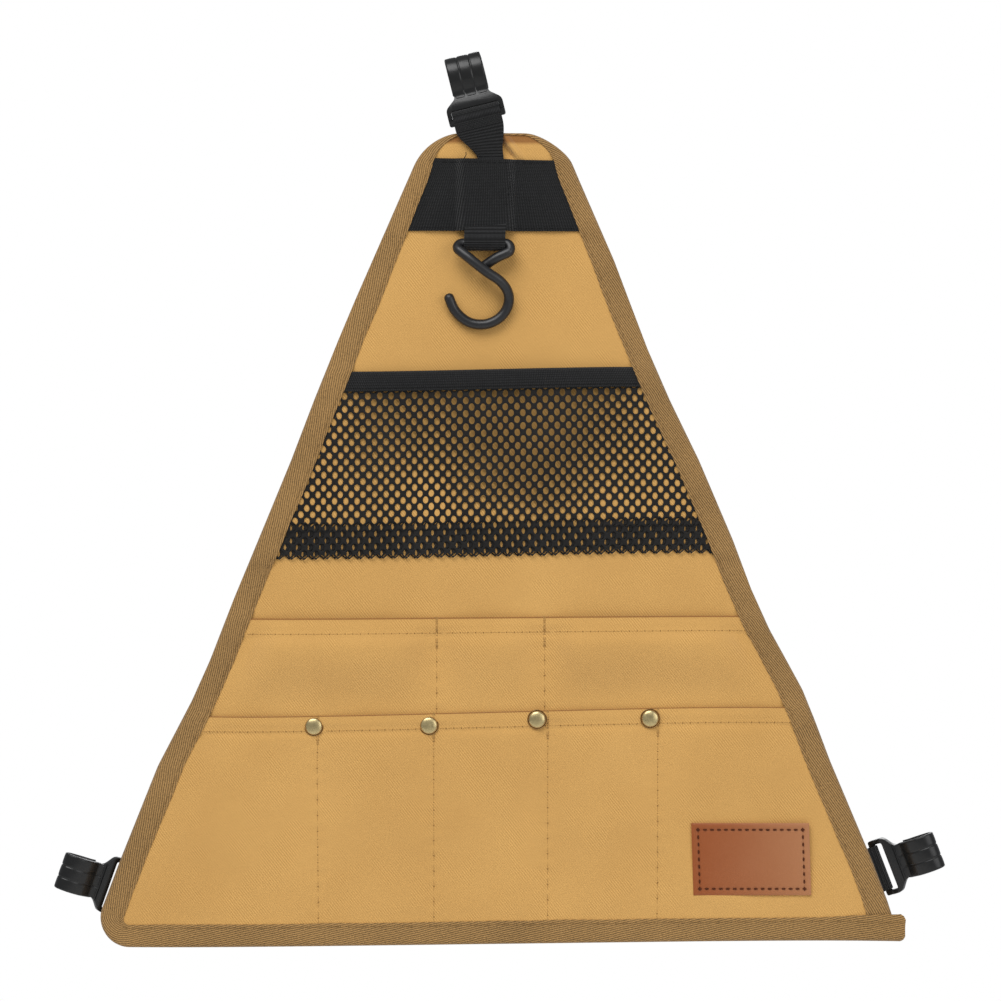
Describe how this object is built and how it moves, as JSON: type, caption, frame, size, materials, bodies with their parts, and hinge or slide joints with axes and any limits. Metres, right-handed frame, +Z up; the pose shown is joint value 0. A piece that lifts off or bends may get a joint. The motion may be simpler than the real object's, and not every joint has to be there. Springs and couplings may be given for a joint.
{
  "type": "hanging camp utensil organiser",
  "caption": "Tapered canvas hanging organiser with a net pocket, rows of open pockets, moulded hooks on webbing and a wire S-hook.",
  "frame": {"origin": "inner seat of the top hook's curl, where the line it hangs on lies", "axes": "+Z up, +X to the viewer's right, the pockets face -Y, the plain back faces +Y"},
  "size_m": [0.4876, 0.0241, 0.4906],
  "materials": {
    "canvas": "tan cotton canvas, fine diagonal twill",
    "twill_tape": "brown twill edge tape, matte",
    "net": "black knitted net",
    "webbing": "black ribbed webbing, matte",
    "hook_plastic": "black moulded plastic, satin",
    "coated_wire": "black coated steel wire, satin",
    "brass": "antique brass, polished dome",
    "leather": "brown leather, semi-gloss"
  },
  "bodies": {
    "top_hook": {"top_hook": "hook_plastic"},
    "panel": {"back_panel": "canvas", "edge_tape": "twill_tape", "net_pocket": "net", "net_tape": "webbing", "upper_pocket": "canvas", "lower_pocket": "canvas", "leather_patch": "leather", "top_band": "webbing", "hanging_strap": "webbing", "left_hook_strap": "webbing", "right_hook_strap": "webbing", "rivet_cap_1": "brass", "rivet_post_1": "brass", "rivet_cap_2": "brass", "rivet_post_2": "brass", "rivet_cap_3": "brass", "rivet_post_3": "brass", "rivet_cap_4": "brass", "rivet_post_4": "brass"},
    "left_hook": {"left_hook": "hook_plastic"},
    "right_hook": {"right_hook": "hook_plastic"},
    "s_hook": {"s_hook": "coated_wire"}
  },
  "joints": [
    {"name": "top_hook_swivel", "type": "hinge", "parent": "top_hook", "child": "panel", "pos_m": [0.00806, -0.0029, -0.03231], "axis": [0.9703, 0, 0.2419], "range_deg": [-100, 100]},
    {"name": "left_hook_swivel", "type": "hinge", "parent": "panel", "child": "left_hook", "pos_m": [-0.18981, 0.0066, -0.45541], "axis": [0.3338, 0, 0.9426], "range_deg": [-125, 0]},
    {"name": "right_hook_swivel", "type": "hinge", "parent": "panel", "child": "right_hook", "pos_m": [0.23019, 0.0066, -0.44491], "axis": [0.3584, 0, -0.9336], "range_deg": [-125, 55]},
    {"name": "s_hook_swing", "type": "hinge", "parent": "panel", "child": "s_hook", "pos_m": [0.01196, -0.0051, -0.10111], "axis": [-1, 0, 0], "range_deg": [0, 70]}
  ]
}
